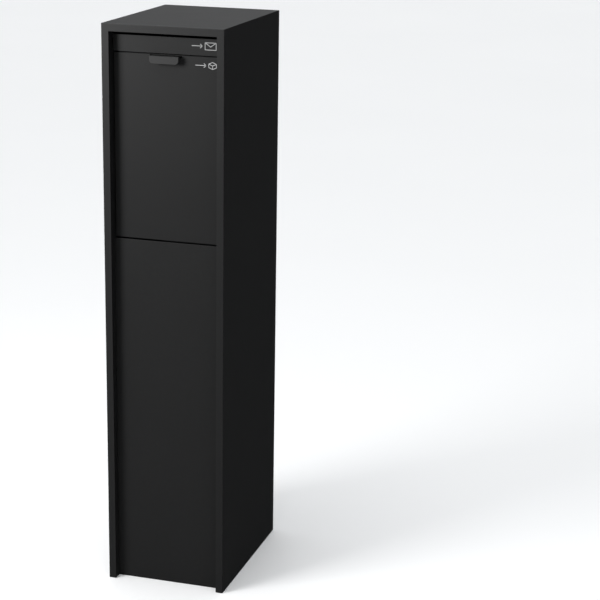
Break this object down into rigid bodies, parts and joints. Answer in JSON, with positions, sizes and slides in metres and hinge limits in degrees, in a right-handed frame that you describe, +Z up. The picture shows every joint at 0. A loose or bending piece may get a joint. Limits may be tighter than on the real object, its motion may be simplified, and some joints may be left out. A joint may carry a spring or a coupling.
{
  "type": "parcel drop box",
  "caption": "Tall free-standing steel drop box with a push-in letter flap, a tilting parcel hopper with a baffle, and a locked rear door for emptying it.",
  "frame": {"origin": "centre of the footprint, on the ground", "axes": "+Z up; -Y is the front, with the letter flap and the parcel door; +X to the right seen from the front"},
  "size_m": [0.26, 0.36, 1.2],
  "materials": {
    "powder_coat": "satin black powder coat",
    "zinc_plated_steel": "bright zinc",
    "chrome_plate": "polished",
    "nylon": "natural nylon",
    "black_rubber": "matte"
  },
  "bodies": {
    "cabinet": {"left_pivot_bracket": "powder_coat", "right_pivot_bracket": "powder_coat", "top_panel": "powder_coat", "left_side_panel": "powder_coat", "right_side_panel": "powder_coat", "lower_front_panel": "powder_coat", "compartment_floor": "powder_coat", "rear_plinth": "powder_coat", "rear_lintel": "powder_coat", "rear_sill": "powder_coat", "lock_jamb": "powder_coat", "hinge_jamb": "powder_coat", "letter_tray": "powder_coat", "left_stop_bracket": "powder_coat", "right_stop_bracket": "powder_coat", "base_plate": "zinc_plated_steel", "plinth_bracket": "zinc_plated_steel", "plinth_screws": "zinc_plated_steel", "strike_plate": "zinc_plated_steel", "strike_rivets": "zinc_plated_steel", "flap_rod": "zinc_plated_steel", "flap_spring": "zinc_plated_steel", "bracket_rivets": "zinc_plated_steel", "left_pivot_pin": "zinc_plated_steel", "right_pivot_pin": "zinc_plated_steel", "left_spring_peg": "zinc_plated_steel", "right_spring_peg": "zinc_plated_steel", "pivot_clips": "zinc_plated_steel", "left_hopper_spring": "zinc_plated_steel", "right_hopper_spring": "zinc_plated_steel", "upper_hinge_pin": "zinc_plated_steel", "lower_hinge_pin": "zinc_plated_steel", "parcel_door_bumpers": "black_rubber", "stop_buffers": "black_rubber"},
    "hopper": {"parcel_door": "powder_coat", "finger_pull": "powder_coat", "hopper_inner_panel": "powder_coat", "hopper_cap": "powder_coat", "hopper_ledge": "powder_coat", "left_cheek": "powder_coat", "right_cheek": "powder_coat", "baffle_plate": "powder_coat", "hopper_rivets": "zinc_plated_steel", "left_pivot_bush": "nylon", "right_pivot_bush": "nylon"},
    "letter_flap": {"letter_flap": "powder_coat"},
    "rear_door": {"rear_door_pan": "powder_coat", "door_stiffener": "powder_coat", "door_gasket": "black_rubber", "lock_housing": "chrome_plate", "lock_nut": "zinc_plated_steel", "upper_hinge_bush": "nylon", "lower_hinge_bush": "nylon"},
    "lock": {"lock_plug": "chrome_plate", "lock_cam": "zinc_plated_steel", "cam_screw": "zinc_plated_steel"}
  },
  "joints": [
    {"name": "hopper_tilt", "type": "hinge", "parent": "cabinet", "child": "hopper", "pos_m": [0, -0.079, 0.77549], "axis": [1, 0, 0], "range_deg": [0, 25.5], "stiffness_Nm_per_rad": 4.5, "springref_deg": -28.65, "deforming": ["left_hopper_spring", "right_hopper_spring"]},
    {"name": "letter_flap_swing", "type": "hinge", "parent": "cabinet", "child": "letter_flap", "pos_m": [0, -0.1535, 1.1715], "axis": [1, 0, 0], "range_deg": [0, 70], "stiffness_Nm_per_rad": 0.01, "springref_deg": -17.19},
    {"name": "rear_door_swing", "type": "hinge", "parent": "cabinet", "child": "rear_door", "pos_m": [0.1075, 0.1715, 0.6], "axis": [0, 0, -1], "range_deg": [0, 95]},
    {"name": "lock_turn", "type": "hinge", "parent": "rear_door", "child": "lock", "pos_m": [-0.072, 0.17, 1.108], "axis": [0, 1, 0], "range_deg": [0, 90]}
  ]
}
